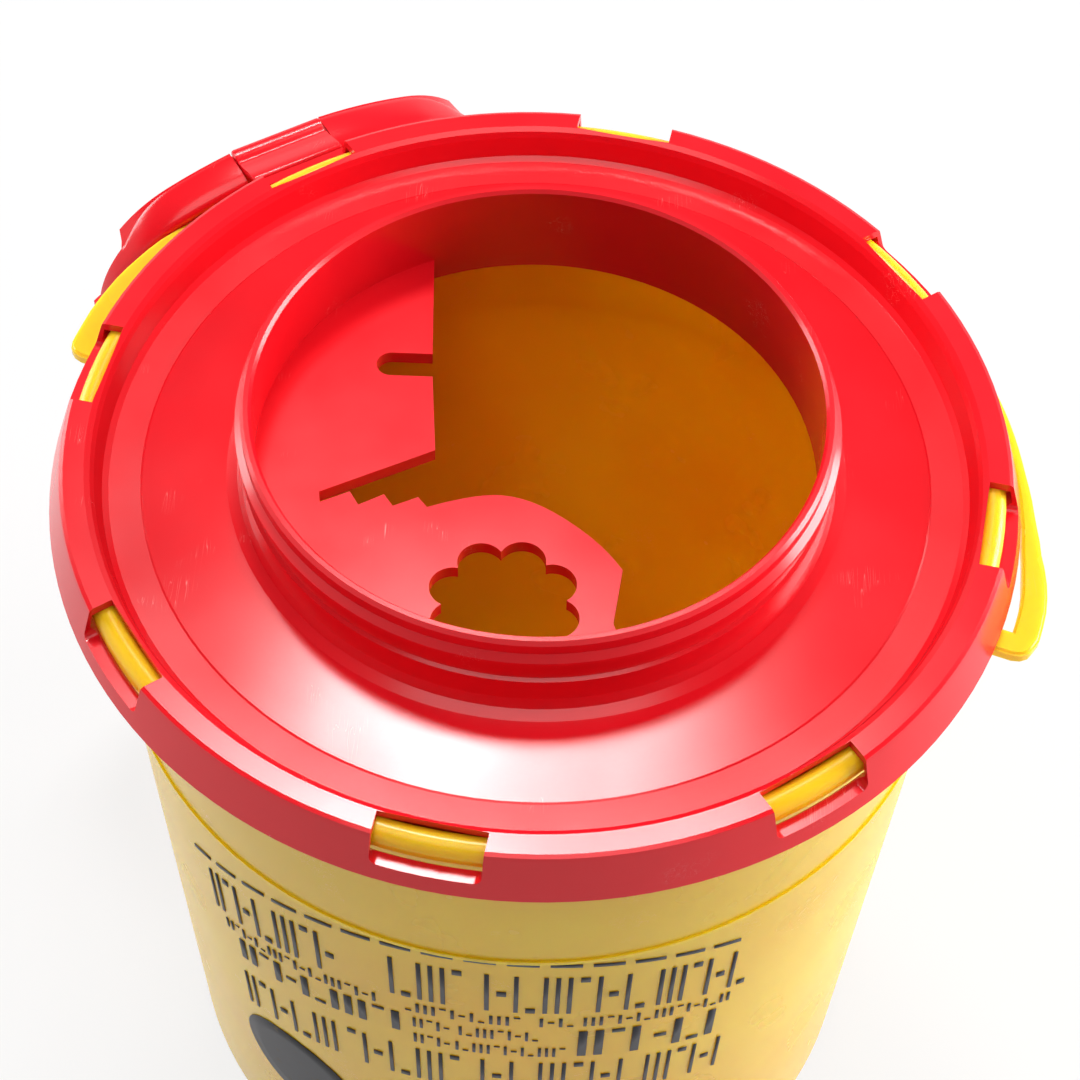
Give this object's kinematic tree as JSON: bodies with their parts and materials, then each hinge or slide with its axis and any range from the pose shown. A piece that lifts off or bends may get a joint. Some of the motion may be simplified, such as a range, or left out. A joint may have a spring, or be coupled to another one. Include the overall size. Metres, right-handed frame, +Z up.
{
  "type": "medical waste container",
  "caption": "Round sharps tub with a snapped-on lid, raised collar over needle-removal cut-outs, a closure cap on a strap and a bail handle.",
  "frame": {"origin": "centre of the tub's flat underside", "axes": "+Z up along the tub's axis; +Y away from the viewer of the picture, +X to the right; the cap hangs at 122 degrees and the bail bulges towards 70 degrees, both counted from +X towards +Y"},
  "size_m": [0.1305, 0.1381, 0.1261],
  "materials": {
    "yellow_plastic": "satin, slightly see-through",
    "red_plastic": "satin"
  },
  "bodies": {
    "tub": {"container_body": "yellow_plastic", "lid": "red_plastic"},
    "bail": {"bail_handle": "yellow_plastic"},
    "strap": {"hinge_strap": "red_plastic"},
    "cap": {"closure_cap": "red_plastic"}
  },
  "joints": [
    {"name": "bail_swing", "type": "hinge", "parent": "tub", "child": "bail", "pos_m": [-0.00054, -0.00151, 0.1101], "axis": [0.9421, -0.3354, 0], "range_deg": [0, 100]},
    {"name": "strap_bend", "type": "hinge", "parent": "tub", "child": "strap", "pos_m": [-0.03086, 0.04881, 0.1149], "axis": [0.8453, 0.5344, 0], "range_deg": [0, 108.2]},
    {"name": "cap_bend", "type": "hinge", "parent": "strap", "child": "cap", "pos_m": [-0.03289, 0.05203, 0.11365], "axis": [0.8453, 0.5344, 0], "range_deg": [0, 155.8]}
  ]
}
